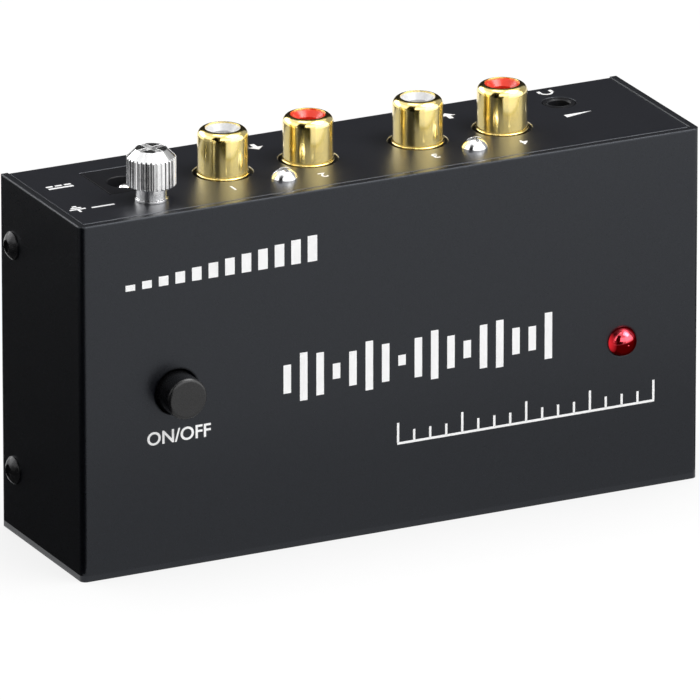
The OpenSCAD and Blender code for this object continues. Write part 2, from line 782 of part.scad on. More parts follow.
// Clinch nut in the jack panel
module ground_nut() {
  color("#c4c7cb") difference() {
    union() {
      translate([ground_x, ground_y, nut_low])
        cylinder(r = ground_nut_af / 2 / cos(30), h = ground_nut_h, $fn = 6);
      z_rod(ground_x, ground_y, nut_low, panel_top, nut_sleeve_r);
    }
    z_rod(ground_x, ground_y, nut_low - cut, panel_top + cut, ground_nut_bore_r);
  }
}

module ground_lug() {
  color("#cfcab8") difference() {
    union() {
      z_rod(ground_x, ground_y, nut_top, panel_low, lug_r);
      span([wire_x - lug_end, ground_y - lug_tail_w / 2, nut_top],
           [ground_x, ground_y + lug_tail_w / 2, panel_low]);
    }
    z_rod(ground_x, ground_y, nut_top - cut, panel_low + cut, nut_sleeve_r + fit_gap);
    z_rod(wire_x, ground_y, nut_top - cut, panel_low + cut, wire_r + fit_gap);
  }
}

// Wire from the lug down and back to the board
module ground_wire() {
  color("#2e7d3a") {
    z_rod(wire_x, ground_y, wire_end_z + wire_bend_r, panel_low - seat_gap, wire_r);
    translate([wire_x, ground_y + wire_bend_r, wire_end_z + wire_bend_r]) rotate([-90, 0, -90])
      rotate_extrude(angle = 90) translate([wire_bend_r, 0]) circle(r = wire_r, $fn = 32);
    y_rod(wire_x, wire_end_z, ground_y + wire_bend_r, pin_end_y, wire_r);
  }
}

module ground_washer() {
  color("#d9dadd") difference() {
    z_rod(ground_x, ground_y, washer_low, washer_low + washer_t, washer_r);
    z_rod(ground_x, ground_y, washer_low - cut, washer_low + washer_t + cut, ground_shank_r + washer_play);
  }
}

// Outline of the knurled head seen from above
module ridged_disc(r, count, depth) {
  step = 360 / count;
  polygon([
    for (k = [0:count - 1], p = [[0, r], [0.3, r], [0.5, r - depth], [0.8, r - depth]])
      p[1] * [cos((k + p[0]) * step), sin((k + p[0]) * step)]
  ]);
}

module ground_thumbscrew() {
  turned_r = knob_r + seat_gap;
  color("#d9dadd") translate([ground_x, ground_y, 0]) difference() {
    union() {
      translate([0, 0, neck_low - ground_shank_l])
        cylinder(r = ground_shank_r, h = ground_shank_l + joint_lap);
      translate([0, 0, neck_low]) cylinder(r = neck_r, h = neck_h + joint_lap);
      intersection() {
        translate([0, 0, band_low]) linear_extrude(knob_top - band_low)
          ridged_disc(knob_r, knob_ridges, ridge_depth);
        rotate_extrude() polygon([
          [0, band_low], [knob_r - ridge_depth, band_low], [turned_r, band_low + knob_foot],
          [turned_r, band_high], [knob_top_r, knob_top], [0, knob_top]
        ]);
      }
    }
    for (turn = [0, 90]) {
      rotate([0, 0, turn + recess_turn]) translate([0, 0, knob_top])
        cube([recess_arm_l, recess_arm_w, 2 * recess_h], center = true);
    }
  }
}

module switch_housing() {
  color("#1f2022") translate([button_x, 0, button_z]) difference() {
    span([-switch_w / 2, switch_top_y, -switch_w / 2],
         [switch_w / 2, board_y - switch_base_t, switch_w / 2]);
    span([switch_wall - switch_w / 2, switch_top_y + switch_wall, switch_wall - switch_w / 2],
         [switch_w / 2 - switch_wall, board_y, switch_w / 2 - switch_wall]);
    span([-stem_w / 2 - stem_gap, switch_top_y - cut, -stem_w / 2 - stem_gap],
         [stem_w / 2 + stem_gap, switch_top_y + switch_wall + cut, stem_w / 2 + stem_gap]);
  }
}

// Base plate of the switch with its six terminals
module switch_base() {
  color("#c9b37a") translate([button_x, 0, button_z]) {
    span([-switch_w / 2, board_y - switch_base_t, -switch_w / 2], [switch_w / 2, board_y, switch_w / 2]);
    for (side = [-1, 1], k = [-1, 0, 1]) {
      y_rod(side * terminal_pitch, k * terminal_pitch, board_y - joint_lap, pin_end_y, pin_r);
    }
  }
}

// Point k of a ring round the spring's wire at turn angle a
function spring_point(a, k, sides) =
  let (
    share = a / (360 * spring_turns),
    y = spring_start_y + share * (spring_end_y - spring_start_y),
    r = spring_r + spring_wire_r * cos(k * 360 / sides)
  )
  [r * cos(a), y + spring_wire_r * sin(k * 360 / sides), r * sin(a)];

module switch_spring() {
  sides = 8;
  rings = spring_turns * 20;
  points = [
    for (i = [0:rings], k = [0:sides - 1]) spring_point(i * 360 * spring_turns / rings, k, sides)
  ];
  walls = [
    for (i = [0:rings - 1], k = [0:sides - 1])
      [i * sides + k, i * sides + (k + 1) % sides, (i + 1) * sides + (k + 1) % sides, (i + 1) * sides + k]
  ];
  start_cap = [[for (k = [sides - 1:-1:0]) k]];
  end_cap = [[for (k = [0:sides - 1]) rings * sides + k]];
  color("#b8bcc2") translate([button_x, 0, button_z])
    polyhedron(points = points, faces = concat(walls, start_cap, end_cap));
}

module switch_plunger() {
  color("#e8e6df") translate([button_x, 0, button_z]) {
    span([-flange_w / 2, flange_y, -flange_w / 2], [flange_w / 2, flange_y + flange_t, flange_w / 2]);
    span([-stem_w / 2, stem_end_y, -stem_w / 2], [stem_w / 2, flange_y + joint_lap, stem_w / 2]);
  }
}

module power_button() {
  color("#1a1b1d") translate([button_x, button_low_y, button_z]) rotate([90, 0, 0]) difference() {
    rotate_extrude() {
      square([button_r, button_low_y - button_face_y - button_round]);
      square([button_r - button_round, button_low_y - button_face_y]);
      translate([button_r - button_round, button_low_y - button_face_y - button_round]) intersection() {
        circle(r = button_round);
        square(button_round);
      }
    }
    translate([-stem_w / 2 - fit_gap, -stem_w / 2 - fit_gap, -cut])
      cube([stem_w + 2 * fit_gap, stem_w + 2 * fit_gap, socket_depth + cut + fit_gap]);
  }
}

module lamp_lens() {
  color("#c4122a") translate([lamp_x, lamp_base_y, lamp_z]) rotate([90, 0, 0]) {
    cylinder(r = lamp_r, h = lamp_l - lamp_r);
    translate([0, 0, lamp_l - lamp_r]) sphere(r = lamp_r);
    translate([0, 0, -lamp_flange_t]) cylinder(r = lamp_flange_r, h = lamp_flange_t);
  }
}

module lamp_leads() {
  color("#c9ccd0") for (side = [-1, 1]) {
    y_rod(lamp_x + side * lamp_lead_x, lamp_z, lamp_base_y + lamp_flange_t, pin_end_y, lamp_lead_r);
  }
}

// Tube that holds the lamp at its height above the board
module lamp_spacer() {
  color("#d8d8d4") difference() {
    y_rod(lamp_x, lamp_z, lamp_base_y + lamp_flange_t, board_y, lamp_flange_r);
    for (side = [-1, 1]) {
      y_rod(lamp_x + side * lamp_lead_x, lamp_z, lamp_base_y, board_y + cut, lamp_lead_r + tail_gap);
    }
  }
}

// Solder pins from a part's underside through the board
module pins(at, from_y) {
  for (p = at) y_rod(p[0], p[1], from_y, pin_end_y, pin_r);
}

module amplifier_chips() {
  face_y = board_y - chip_stand;
  leg_y = face_y - chip_t / 2;
  shoulder_z = chip_w / 2 - joint_lap;
  color("#202124") for (p = chip_at) translate([p[0], 0, p[1]]) {
    span([-chip_l / 2, face_y - chip_t, -chip_w / 2], [chip_l / 2, face_y, chip_w / 2]);
    for (k = chip_row_x, side = [0, 1]) translate([k * chip_pin_pitch, 0, 0]) mirror([0, 0, side]) {
      y_rod(0, chip_row_z, leg_y, pin_end_y, pin_r);
      span([-pin_r, leg_y, shoulder_z], [pin_r, leg_y + 2 * pin_r, chip_row_z + pin_r]);
    }
  }
}

// Wound capacitor standing on the board, with the pressed groove near its foot
module round_cap(p, r, h, pitch) {
  groove_high = groove_low + groove_h;
  y_rod(p[0], p[1], board_y - h, board_y - groove_high, r);
  y_rod(p[0], p[1], board_y - groove_high - joint_lap, board_y - groove_low + joint_lap, r - groove_depth);
  y_rod(p[0], p[1], board_y - groove_low, board_y, r);
  pins(pin_pair([p], pitch), board_y - joint_lap);
}

module large_capacitors() {
  color("#23305c") for (p = large_cap_at) round_cap(p, large_cap_r, large_cap_h, large_cap_pitch);
}

module small_capacitors() {
  color("#1f2a4f") for (p = small_cap_at) round_cap(p, small_cap_r, small_cap_h, small_cap_pitch);
}

module film_capacitors() {
  color("#a3251f") for (p = film_cap_at) {
    span([p[0] - film_cap_l / 2, board_y - film_cap_h, p[1] - film_cap_t / 2],
         [p[0] + film_cap_l / 2, board_y, p[1] + film_cap_t / 2]);
    pins(pin_pair([p], film_cap_pitch), board_y - joint_lap);
  }
}

// Axial part lying on the board: a body on a bent wire
module axial_part(p, r, l) {
  y = board_y - r - axial_stand;
  translate([p[0] - l / 2, y, p[1]]) rotate([0, 90, 0]) cylinder(r = r, h = l);
  translate([p[0] - resistor_pitch / 2, y, p[1]]) rotate([0, 90, 0])
    cylinder(r = pin_r - seat_gap, h = resistor_pitch);
  pins(pin_pair([p], resistor_pitch), y - pin_r);
}

module resistors() {
  color("#c8b48a") for (p = resistor_at) axial_part(p, resistor_r, resistor_l);
}

module power_diode() {
  color("#222326") for (p = diode_at) axial_part(p, diode_r, diode_l);
}

module voltage_regulator() {
  low_y = board_y - regulator_stand;
  translate([regulator_at[0], 0, regulator_at[1]]) {
    color("#2b2c2f") span([-regulator_w / 2, low_y - regulator_h, -regulator_t / 2],
                          [regulator_w / 2, low_y, regulator_t / 2]);
    color("#b5b8bd") span([-regulator_w / 2, low_y - tab_h, regulator_t / 2],
                          [regulator_w / 2, low_y, regulator_t / 2 + tab_t]);
  }
  color("#b5b8bd") pins(regulator_pins, low_y - joint_lap);
}

// Drum choke: two cheeks and the winding between them
module power_choke() {
  x = choke_at[0];
  z = choke_at[1];
  color("#3a3b3e") {
    y_rod(x, z, board_y - choke_h, board_y - choke_h + cheek_t, choke_r);
    y_rod(x, z, board_y - choke_h + cheek_t - joint_lap, board_y - cheek_t + joint_lap, choke_waist_r);
    y_rod(x, z, board_y - cheek_t, board_y, choke_r);
    pins(pin_pair([choke_at], choke_pitch), board_y - joint_lap);
  }
}

cover();
chassis();
side_screws();
rubber_feet();
standoffs();
circuit_board();
board_screws();
jack_block(input_x, panel_screw_xs[0]);  // input_jack_block
jack_block(output_x, panel_screw_xs[1]);  // output_jack_block
panel_screws();
rca_shell(input_left_x);  // input_left_shell
rca_shell(input_right_x);  // input_right_shell
rca_shell(output_left_x);  // output_left_shell
rca_shell(output_right_x);  // output_right_shell
rca_insulator(input_left_x, "#f2f2f0");  // input_left_insulator
rca_insulator(input_right_x, "#e0401f");  // input_right_insulator
rca_insulator(output_left_x, "#f2f2f0");  // output_left_insulator
rca_insulator(output_right_x, "#e0401f");  // output_right_insulator
rca_contact(input_left_x);  // input_left_contact
rca_contact(input_right_x);  // input_right_contact
rca_contact(output_left_x);  // output_left_contact
rca_contact(output_right_x);  // output_right_contact
dc_inlet_body();
dc_inlet_pin();
dc_inlet_spring();
headphone_jack_body();
headphone_jack_contacts();
ground_nut();
ground_lug();
ground_wire();
ground_washer();
ground_thumbscrew();
switch_housing();
switch_base();
switch_spring();
switch_plunger();
power_button();
lamp_lens();
lamp_leads();
lamp_spacer();
amplifier_chips();
large_capacitors();
small_capacitors();
film_capacitors();
resistors();
voltage_regulator();
power_choke();
power_diode();
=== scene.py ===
import math

import bmesh
import bpy
from mathutils import Matrix, Vector


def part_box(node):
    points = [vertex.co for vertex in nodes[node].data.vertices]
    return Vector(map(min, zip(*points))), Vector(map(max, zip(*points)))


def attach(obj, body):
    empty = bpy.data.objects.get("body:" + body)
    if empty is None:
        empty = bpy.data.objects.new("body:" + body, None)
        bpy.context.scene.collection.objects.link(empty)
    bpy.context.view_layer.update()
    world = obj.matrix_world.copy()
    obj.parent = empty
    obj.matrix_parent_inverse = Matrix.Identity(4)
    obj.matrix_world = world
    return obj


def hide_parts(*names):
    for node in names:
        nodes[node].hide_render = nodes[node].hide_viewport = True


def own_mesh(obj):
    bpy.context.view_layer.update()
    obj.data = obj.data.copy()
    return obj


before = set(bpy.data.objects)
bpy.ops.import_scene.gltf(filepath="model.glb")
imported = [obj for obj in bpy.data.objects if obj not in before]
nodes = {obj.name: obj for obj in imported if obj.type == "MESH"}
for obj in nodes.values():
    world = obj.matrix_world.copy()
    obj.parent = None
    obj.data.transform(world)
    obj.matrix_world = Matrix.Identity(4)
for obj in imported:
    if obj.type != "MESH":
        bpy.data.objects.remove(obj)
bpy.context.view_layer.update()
scene = bpy.context.scene
MM = 0.001


# ---------------------------------------------------------------- camera

CAMERA_AZIMUTH = math.radians(26.296)
CAMERA_ELEVATION = math.radians(19.625)
CAMERA_ROLL = math.radians(-0.027)
CAMERA_DISTANCE = 2.547
CAMERA_TARGET = Vector((-0.308, 0.1, 26.233)) * MM
CAMERA_LENS = 806.4
CAMERA_SENSOR = 36
CAMERA_CLIP = (0.05, 30)


def make_camera():
    """Looks down at the printed face from its left, through a long lens."""
    back = Vector((-math.sin(CAMERA_AZIMUTH) * math.cos(CAMERA_ELEVATION),
                   -math.cos(CAMERA_AZIMUTH) * math.cos(CAMERA_ELEVATION),
                   math.sin(CAMERA_ELEVATION)))
    right = Vector((0, 0, 1)).cross(back).normalized()
    up = back.cross(right)
    turn = Matrix((right, up, back)).transposed().to_4x4()
    data = bpy.data.cameras.new("camera")
    data.lens = CAMERA_LENS
    data.sensor_width = CAMERA_SENSOR
    data.clip_start, data.clip_end = CAMERA_CLIP
    camera = bpy.data.objects.new("camera", data)
    scene.collection.objects.link(camera)
    camera.matrix_world = (Matrix.Translation(CAMERA_TARGET + back * CAMERA_DISTANCE)
                           @ turn @ Matrix.Rotation(CAMERA_ROLL, 4, "Z"))
    scene.camera = camera


# ---------------------------------------------------------------- shader helpers

# share of the noise's range that most of it fills
NOISE_RANGE = (0.3, 0.7)
NOISE_ROUGHNESS = 0.55
# slots of the colour Mix node: the two colours, and the result
MIX_DARK = 6
MIX_LIGHT = 7
MIX_RESULT = 2


def new_tree(name):
    """An empty material and its node tree."""
    material = bpy.data.materials.new(name)
    material.use_nodes = True
    material.node_tree.nodes.clear()
    return material, material.node_tree


def add(tree, kind, settings=None, **inputs):
    """A node of that kind. Inputs are values, or sockets to link from.

    An input goes by its name, or by its number after the letter i."""
    made = tree.nodes.new("ShaderNode" + kind)
    for key, value in (settings or {}).items():
        setattr(made, key, value)
    for key, value in inputs.items():
        name = key.replace("_", " ")
        socket = made.inputs[int(key[1:])] if key[1:].isdigit() else made.inputs[name]
        if isinstance(value, bpy.types.NodeSocket):
            tree.links.new(value, socket)
        else:
            socket.default_value = value
    return made


def math_node(tree, operation, a, b=0.0):
    """What that operation gives from a and b."""
    return add(tree, "Math", {"operation": operation}, i0=a, i1=b).outputs[0]


def noise(tree, scale, detail):
    """Noise from 0 to 1, with about scale grains in a metre of the part."""
    place = add(tree, "TexCoord").outputs["Object"]
    return add(tree, "TexNoise", Vector=place, Scale=scale, Detail=detail,
               Roughness=NOISE_ROUGHNESS).outputs["Fac"]


def spread(tree, value, low, high):
    """Maps the part of the range that noise mostly fills to low and high."""
    return add(tree, "MapRange", Value=value, From_Min=NOISE_RANGE[0], From_Max=NOISE_RANGE[1],
               To_Min=low, To_Max=high).outputs[0]


def tint(tree, value, dark, light):
    """A colour between dark and light by a value from 0 to 1. Dark may be a socket."""
    mix = add(tree, "Mix", {"data_type": "RGBA"}, Factor=value)
    if isinstance(dark, bpy.types.NodeSocket):
        tree.links.new(dark, mix.inputs[MIX_DARK])
    else:
        mix.inputs[MIX_DARK].default_value = (*dark, 1)
    mix.inputs[MIX_LIGHT].default_value = (*light, 1)
    return mix.outputs[MIX_RESULT]


def facing(tree):
    """The X, Y and Z of the way that the surface faces in the world."""
    normal = add(tree, "NewGeometry").outputs["Normal"]
    return add(tree, "SeparateXYZ", Vector=normal).outputs


# ---------------------------------------------------------------- finish

EDGE_SAMPLES = 6
PATCH_DETAIL = 4.0
GRAIN_DETAIL = 3.0
# painted top light: a surface takes the lighter up colour when the Z of its normal is above this
PAINTED_TOP_LEVEL = 0.9
# turned metal's tangent: nearly Z, and never quite along a normal
TURNED_TANGENT = {"X": 0.02, "Y": 0.01, "Z": 1.0}
# painted reflection on the lamp's resin: it pales to the painted sky reflection as its slope, Z less
# a quarter of X, goes through this range
RESIN_LEAN = -0.25
RESIN_SLOPES = (0.17, 0.36)
# and a painted glow: it gives off light of its own in from its left rim, from the first X to the
# second
RESIN_RIM = (-0.72, -0.99)
RESIN_PAINTED_GLOW_COLOURS = ((0.03, 0, 0), (0.70, 0.02, 0.03))


def resin_painted_reflection(tree, dark, painted_reflection):
    """The resin's colour with a painted reflection: dark where it faces down, and the painted sky
    reflection where it faces up.
    """
    way = facing(tree)
    slope = math_node(tree, "MULTIPLY_ADD", way["X"], RESIN_LEAN)
    tree.links.new(way["Z"], slope.node.inputs[2])
    level = add(tree, "MapRange", Value=slope, From_Min=RESIN_SLOPES[0],
                From_Max=RESIN_SLOPES[1]).outputs[0]
    return tint(tree, level, dark, painted_reflection)


def resin_painted_glow(tree):
    """A painted glow: light that the resin gives off at its left rim, in place of the light that it
    gathers there.
    """
    rim = add(tree, "MapRange", Value=facing(tree)["X"], From_Min=RESIN_RIM[0],
              From_Max=RESIN_RIM[1]).outputs[0]
    return tint(tree, rim, *RESIN_PAINTED_GLOW_COLOURS)


def finish(name, dark, light, roughness, grain, grain_depth, edge=0.0, mottle=400,
           turned=False, painted_reflection=None, up=None, **shader):
    """A material whose colour, roughness and surface all vary.

    dark and light bound the colour, and mottle is its patches in a metre. roughness is
    (low, high), grain is grains in a metre, grain_depth the height of the grain in metres
    and edge the radius of the broken edges. Metal turned about Z blurs what it mirrors
    along Z. up is a lighter colour painted on level faces that look up: painted top light.
    painted_reflection makes the lamp's resin, which runs from dark to a painted sky
    reflection by its slope and has a painted glow at its left rim."""
    material, tree = new_tree(name)
    patch = noise(tree, mottle, PATCH_DETAIL)
    fine = noise(tree, grain, GRAIN_DETAIL)
    colour = tint(tree, spread(tree, patch, 0, 1), dark, light)
    # painted top light: level faces that look up take the lighter up colour
    if up:
        level = math_node(tree, "GREATER_THAN", facing(tree)["Z"], PAINTED_TOP_LEVEL)
        colour = tint(tree, level, colour, up)
    # painted reflection and painted glow: the lamp's resin pales to a painted sky reflection where it
    # faces up, and glows at its left rim
    if painted_reflection:
        colour = resin_painted_reflection(tree, dark, painted_reflection)
        shader["Emission_Color"] = resin_painted_glow(tree)
    bump_inputs = {"Height": fine, "Distance": grain_depth, "Strength": 1.0}
    if edge:
        broken = add(tree, "Bevel", {"samples": EDGE_SAMPLES}, Radius=edge)
        bump_inputs["Normal"] = broken.outputs[0]
    if turned:
        shader["Tangent"] = add(tree, "CombineXYZ", **TURNED_TANGENT).outputs[0]
    bump = add(tree, "Bump", **bump_inputs)
    bsdf = add(tree, "BsdfPrincipled", Base_Color=colour, Normal=bump.outputs[0],
               Roughness=spread(tree, fine, *roughness), **shader)
    out = add(tree, "OutputMaterial")
    tree.links.new(bsdf.outputs[0], out.inputs[0])
    return material


# ---------------------------------------------------------------- materials

def make_materials():
    """One material for each slot of the record, and one for the printed marks."""
    m = {}
    # the cover's level tops take a lighter up colour: painted top light
    m["cover_paint"] = finish(
        "cover_powder_coat", (0.0006, 0.0010, 0.0024), (0.0012, 0.0016, 0.0034),
        (0.26, 0.33), 5200, 0.000006, edge=0.0005, up=(0.020, 0.021, 0.024), mottle=900,
        Specular_IOR_Level=0.46, Specular_Tint=(0.86, 0.91, 1.0, 1))
    m["chassis_paint"] = finish(
        "panel_powder_coat", (0.0008, 0.0010, 0.0040), (0.0014, 0.0018, 0.0056),
        (0.36, 0.44), 5200, 0.000004, edge=0.00025, mottle=900, Specular_IOR_Level=0.95,
        Specular_Tint=(0.88, 0.92, 1.0, 1), Coat_Weight=0.3, Coat_Roughness=0.38,
        Coat_IOR=1.6)
    m["black_screw"] = finish(
        "black_screw_steel", (0.010, 0.010, 0.011), (0.022, 0.022, 0.024),
        (0.2, 0.3), 6000, 0.000004, edge=0.00012, Metallic=0.5)
    m["foot_rubber"] = finish(
        "foot_rubber_black", (0.012, 0.012, 0.012), (0.022, 0.022, 0.022),
        (0.7, 0.85), 4000, 0.00001, edge=0.0002)
    m["zinc"] = finish(
        "zinc_plating", (0.52, 0.53, 0.54), (0.66, 0.67, 0.68),
        (0.26, 0.42), 2600, 0.000004, edge=0.0001, Metallic=1.0)
    m["board"] = finish(
        "board_green_mask", (0.005, 0.055, 0.02), (0.012, 0.10, 0.035),
        (0.25, 0.4), 700, 0.00002, edge=0.0001, mottle=180)
    m["black_plastic"] = finish(
        "moulded_black_plastic", (0.0085, 0.0088, 0.011), (0.011, 0.0115, 0.014),
        (0.40, 0.5), 5000, 0.000006, edge=0.00012, Specular_IOR_Level=0.22)
    m["bright_nickel"] = finish(
        "bright_nickel_plate", (0.84, 0.84, 0.84), (0.92, 0.92, 0.92),
        (0.17, 0.23), 5000, 0.0000006, edge=0.00009, turned=True, Metallic=1.0,
        Anisotropic=0.7)
    m["gold_plate"] = finish(
        "gold_plate", (1.0, 0.74, 0.17), (1.0, 0.79, 0.22),
        (0.15, 0.18), 2600, 0.0000002, edge=0.00018, turned=True, Metallic=1.0,
        Anisotropic=0.9, Coat_Weight=1.0, Coat_Roughness=0.1, Coat_IOR=2.3)
    m["white_plastic"] = finish(
        "white_moulded_plastic", (0.75, 0.75, 0.76), (0.80, 0.80, 0.81),
        (0.22, 0.32), 2600, 0.000004, edge=0.0001)
    m["red_plastic"] = finish(
        "red_moulded_plastic", (0.78, 0.035, 0.015), (0.92, 0.06, 0.025),
        (0.2, 0.3), 2600, 0.000004, edge=0.0001)
    m["contact_metal"] = finish(
        "tinned_contact", (0.60, 0.58, 0.54), (0.74, 0.72, 0.68),
        (0.2, 0.34), 3000, 0.000003, edge=0.00006, Metallic=1.0)
    m["green_wire"] = finish(
        "green_wire_sleeve", (0.01, 0.16, 0.03), (0.02, 0.24, 0.05),
        (0.4, 0.5), 3000, 0.000006)
    m["button_plastic"] = finish(
        "button_satin_black", (0.003, 0.003, 0.0036), (0.005, 0.005, 0.0058),
        (0.24, 0.30), 6000, 0.000003, edge=0.00025, Specular_IOR_Level=0.48)
    m["sleeve_blue"] = finish(
        "capacitor_sleeve", (0.006, 0.02, 0.09), (0.01, 0.03, 0.14),
        (0.3, 0.42), 1800, 0.000005, edge=0.0001)
    m["film_red"] = finish(
        "film_capacitor_dip", (0.32, 0.02, 0.012), (0.45, 0.035, 0.02),
        (0.2, 0.32), 900, 0.00002, edge=0.0002)
    m["resistor_body"] = finish(
        "resistor_lacquer", (0.12, 0.22, 0.34), (0.18, 0.30, 0.44),
        (0.3, 0.42), 2400, 0.000006, edge=0.0001)
    m["ferrite"] = finish(
        "ferrite_grey", (0.02, 0.02, 0.021), (0.045, 0.044, 0.044),
        (0.45, 0.6), 2600, 0.00001, edge=0.0002)
    # the lamp's resin: a painted sky reflection on its upper faces, and a painted glow at its left
    # rim from its emission
    m["lamp_red"] = finish(
        "lamp_red_resin", (0.05, 0.0002, 0.0006), (0.06, 0.0003, 0.001),
        (0.09, 0.12), 1200, 0.000001, painted_reflection=(0.80, 0.09, 0.12), Metallic=1.0,
        Specular_Tint=(0.25, 0.0, 0.0, 1), Emission_Strength=1.0)
    # the print is real; its faint emission is a painted glow that brightens it
    m["ink"] = finish(
        "white_screen_ink", (0.93, 0.93, 0.93), (0.98, 0.98, 0.98),
        (0.45, 0.6), 7000, 0.000004, Emission_Color=(1, 1, 1, 1), Emission_Strength=0.07)
    for node in nodes.values():
        for slot in node.material_slots:
            slot.material = m[slot.material.name]
    return m


# ---------------------------------------------------------------- stage

ROOM_LEVEL = 0.45
FLOOR_HALF = 4.0
FLOOR_DROP = 0.00005
FLOOR_SHADE_REACH = 0.03
FLOOR_SHADE_SAMPLES = 12
# what the camera sees of the floor: its glow, lowered by painted shade in the box's nook
# and full in the open, and the light that it takes from the lamps
FLOOR_GLOW = (0.76, 0.925)
FLOOR_LIT = (0.09, 0.09, 0.09, 1)
# what the floor gives back to the part
FLOOR_COLOUR = (0.8, 0.8, 0.8, 1)
WHITE = (1, 1, 1, 1)


def light_path(tree):
    """1 for what the camera sees, straight or in gloss or through glass."""
    path = add(tree, "LightPath")
    seen = math_node(tree, "MAXIMUM", path.outputs["Is Camera Ray"],
                     path.outputs["Is Glossy Ray"])
    return math_node(tree, "MAXIMUM", seen, path.outputs["Is Transmission Ray"])


def make_world():
    """A white room that lights the part less than it shows."""
    world = bpy.data.worlds.new("world")
    world.use_nodes = True
    scene.world = world
    tree = world.node_tree
    tree.nodes.clear()
    room = add(tree, "Background", Color=WHITE, Strength=ROOM_LEVEL)
    white = add(tree, "Background", Color=WHITE, Strength=1.0)
    mix = add(tree, "MixShader", i0=light_path(tree), i1=room.outputs[0],
              i2=white.outputs[0])
    out = add(tree, "OutputWorld")
    tree.links.new(mix.outputs[0], out.inputs[0])


def make_floor():
    """A pale floor that reads as white, keeps the shadow, and has painted shade that darkens it close
    to the box.
    """
    mesh = bpy.data.meshes.new("floor")
    mesh.from_pydata([(-FLOOR_HALF, -FLOOR_HALF, 0), (FLOOR_HALF, -FLOOR_HALF, 0),
                      (FLOOR_HALF, FLOOR_HALF, 0), (-FLOOR_HALF, FLOOR_HALF, 0)],
                     [], [(0, 1, 2, 3)])
    floor = bpy.data.objects.new("floor", mesh)
    floor.location.z = -FLOOR_DROP
    scene.collection.objects.link(floor)
    material, tree = new_tree("floor_white")
    diffuse = add(tree, "BsdfDiffuse", Color=FLOOR_COLOUR)
    # painted shade: the floor's glow drops where the box hems it in
    painted_nook_shade = add(tree, "AmbientOcclusion", {"samples": FLOOR_SHADE_SAMPLES},
               Distance=FLOOR_SHADE_REACH).outputs["AO"]
    strength = add(tree, "MapRange", Value=painted_nook_shade, To_Min=FLOOR_GLOW[0],
                   To_Max=FLOOR_GLOW[1]).outputs[0]
    glow = add(tree, "Emission", Color=WHITE, Strength=strength)
    lit = add(tree, "BsdfDiffuse", Color=FLOOR_LIT)
    pale = add(tree, "AddShader", i0=glow.outputs[0], i1=lit.outputs[0])
    seen = add(tree, "MixShader", i0=light_path(tree), i1=diffuse.outputs[0],
               i2=pale.outputs[0])
    # from below, the floor isn't there
    under = add(tree, "BsdfTransparent")
    side = add(tree, "NewGeometry").outputs["Backfacing"]
    both = add(tree, "MixShader", i0=side, i1=seen.outputs[0], i2=under.outputs[0])
    out = add(tree, "OutputMaterial")
    tree.links.new(both.outputs[0], out.inputs[0])
    mesh.materials.append(material)


# ---------------------------------------------------------------- cards and lamps

LAMP_TARGET = (0, 0, 0.03)

# how far the cards reach from the middle, how high the ones on the floor lie, and the
# degrees between the points of an arc
WALL_REACH = 1.1
CARD_HEIGHT = 0.001
ARC_STEP = 6

# the cards at the box's foot: where the round ones start, and how far each card goes
CORNER_START = 0.0006
CORNER_REACH_LEFT = 0.165
CORNER_REACH_RIGHT = 0.15
LEFT_CARD_FAR = ((-0.34, 0.18, CARD_HEIGHT), (-0.08, 0.36, CARD_HEIGHT))
FRONT_CARD_RIGHT = 0.12
FRONT_CARD_DEPTH = 0.05
FRONT_CARD_SHIFTS = (0.02, 0.04)

# dark floor with a wall behind it: name, level, azimuths, top of the wall
DARK_SIDES = (
    ("dark", 0.0, (-62, -17), 0.3),
    ("dim", 0.05, (-84, -62), 0.35),
    ("grey", 0.35, (-116, -84), 0.3),
)
DARK_SIDES_START = 0.19

# bright floor: name, level, azimuths, start
BRIGHT_MATS = (
    ("card_bright_right", 2.0, (6, 76), 0.28),
    ("card_bright_left", 1.6, (-172, -118), 0.45),
)

# walls: name, level, azimuths, foot, top
WALLS = (
    ("wall_pale_left", 1.7, (-116, -78), 0.3, 1.1),
    ("wall_dark_band", 0.0, (-78, -39), 0.3, 1.9),
    ("wall_pale_middle", 2.3, (-39, 6), 0.3, 1.1),
    ("wall_bright_right", 2.6, (6, 76), 0.02, 1.1),
    ("wall_right", 0.4, (78, 126), 0, 1.0),
    ("wall_bright_left", 3.6, (-172, -118), 0.22, 0.9),
    ("wall_back", 0.02, (126, 186), 0, 1.6),
    ("wall_back_high", 0.3, (126, 186), 1.6, 2.4),
)


def ring(azimuths, reach, height, centre=(0, 0)):
    """Points on an arc round centre. Azimuths run in degrees from -Y towards +X."""
    steps = max(2, round(abs(azimuths[1] - azimuths[0]) / ARC_STEP))
    turns = [math.radians(azimuths[0] + (azimuths[1] - azimuths[0]) * i / steps)
             for i in range(steps + 1)]
    return [(centre[0] + reach * math.sin(a), centre[1] - reach * math.cos(a), height)
            for a in turns]


def to_data(name, mesh):
    """Blender's mesh from a bmesh, which is freed."""
    data = bpy.data.meshes.new(name)
    mesh.to_mesh(data)
    mesh.free()
    return data


def make_card(name, level, near, far):
    """A card beside the set that only gloss sees, as a studio keeps near metal and black.

    It spans two rows of points: near and far on the floor, or low and high on a wall."""
    mesh = bmesh.new()
    rows = [[mesh.verts.new(point) for point in row] for row in (near, far)]
    for k in range(len(near) - 1):
        mesh.faces.new((rows[0][k], rows[1][k], rows[1][k + 1], rows[0][k + 1]))
    data = to_data(name, mesh)
    card = bpy.data.objects.new(name, data)
    scene.collection.objects.link(card)
    for ray in ("camera", "diffuse", "shadow", "transmission", "volume_scatter"):
        setattr(card, "visible_" + ray, False)
    material, tree = new_tree(name)
    glow = add(tree, "Emission", Color=WHITE, Strength=level)
    out = add(tree, "OutputMaterial")
    tree.links.new(glow.outputs[0], out.inputs[0])
    data.materials.append(material)


